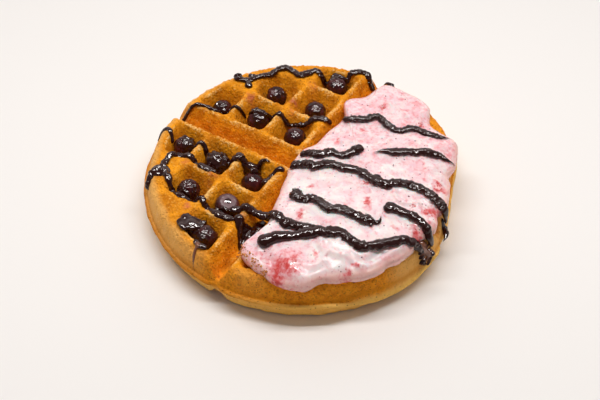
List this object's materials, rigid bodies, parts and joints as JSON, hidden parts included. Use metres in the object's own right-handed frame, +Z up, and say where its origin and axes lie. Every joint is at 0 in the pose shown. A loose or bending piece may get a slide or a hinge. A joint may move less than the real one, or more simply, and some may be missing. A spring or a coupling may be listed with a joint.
{
  "type": "belgian waffle",
  "caption": "Round deep-pocket waffle with whole berries in the pockets of one half, strawberry cream over the other half and drizzled chocolate syrup, resting flat.",
  "frame": {"origin": "middle of the footprint, on the plane that the underside ridges rest on", "axes": "+Z up through the thickness; +X and +Y along the two straight grooves that part the quarters, with the cream on the +X half"},
  "size_m": [0.1853, 0.1863, 0.0424],
  "materials": {
    "waffle_crust": "baked golden crust, dry and finely pitted",
    "strawberry_cream": "soft whipped cream, slightly glossy",
    "strawberry_fruit": "wet crushed fruit",
    "chocolate_syrup": "thick glossy dark syrup",
    "berry_skin": "dark purple wrinkled skin, moist"
  },
  "bodies": {
    "root": {"waffle": "waffle_crust", "cream": "strawberry_cream", "berry_01": "berry_skin", "berry_02": "berry_skin", "berry_03": "berry_skin", "berry_04": "berry_skin", "berry_05": "berry_skin", "berry_06": "berry_skin", "berry_07": "berry_skin", "berry_08": "berry_skin", "berry_09": "berry_skin", "berry_10": "berry_skin", "berry_11": "berry_skin", "berry_12": "berry_skin"}
  },
  "joints": []
}
